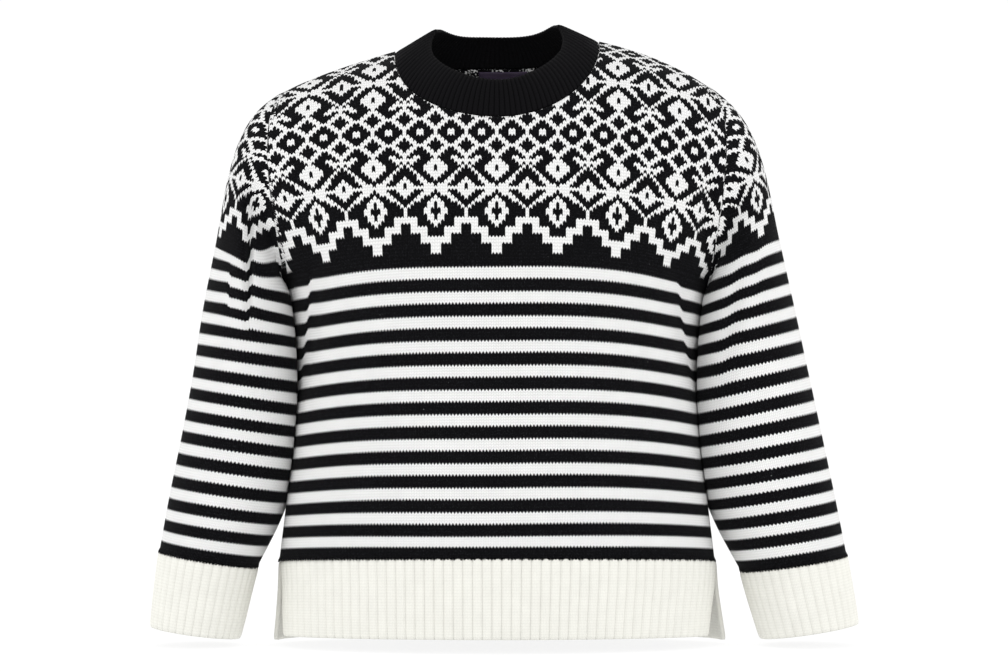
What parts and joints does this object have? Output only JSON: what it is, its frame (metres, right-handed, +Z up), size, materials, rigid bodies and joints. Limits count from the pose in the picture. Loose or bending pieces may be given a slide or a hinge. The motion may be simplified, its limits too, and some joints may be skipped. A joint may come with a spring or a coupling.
{
  "type": "fair isle jumper",
  "caption": "Hollow worn-shape knitted jumper with a ribbed crew collar, patterned yoke over stripes, long sleeves, ribbed cuffs and a split ribbed hem.",
  "frame": {"origin": "the middle of the neck, at the height where the wearer's shoulders carry the garment", "axes": "+X is the viewer's right seen from the front, +Y is the garment's back, +Z is up"},
  "size_m": [0.7093, 0.2271, 0.6185],
  "materials": {
    "pattern_knit": "soft wool knit in black and white",
    "cream_rib": "soft cream wool rib",
    "black_rib": "soft black wool rib",
    "label_weave": "dark purple satin weave, bare"
  },
  "bodies": {
    "root": {"front": "pattern_knit", "back": "pattern_knit", "sleeve_left": "pattern_knit", "sleeve_right": "pattern_knit", "cuff_left": "cream_rib", "cuff_right": "cream_rib", "hem_front": "cream_rib", "hem_back": "cream_rib", "collar": "black_rib", "neck_label": "label_weave"}
  },
  "joints": []
}
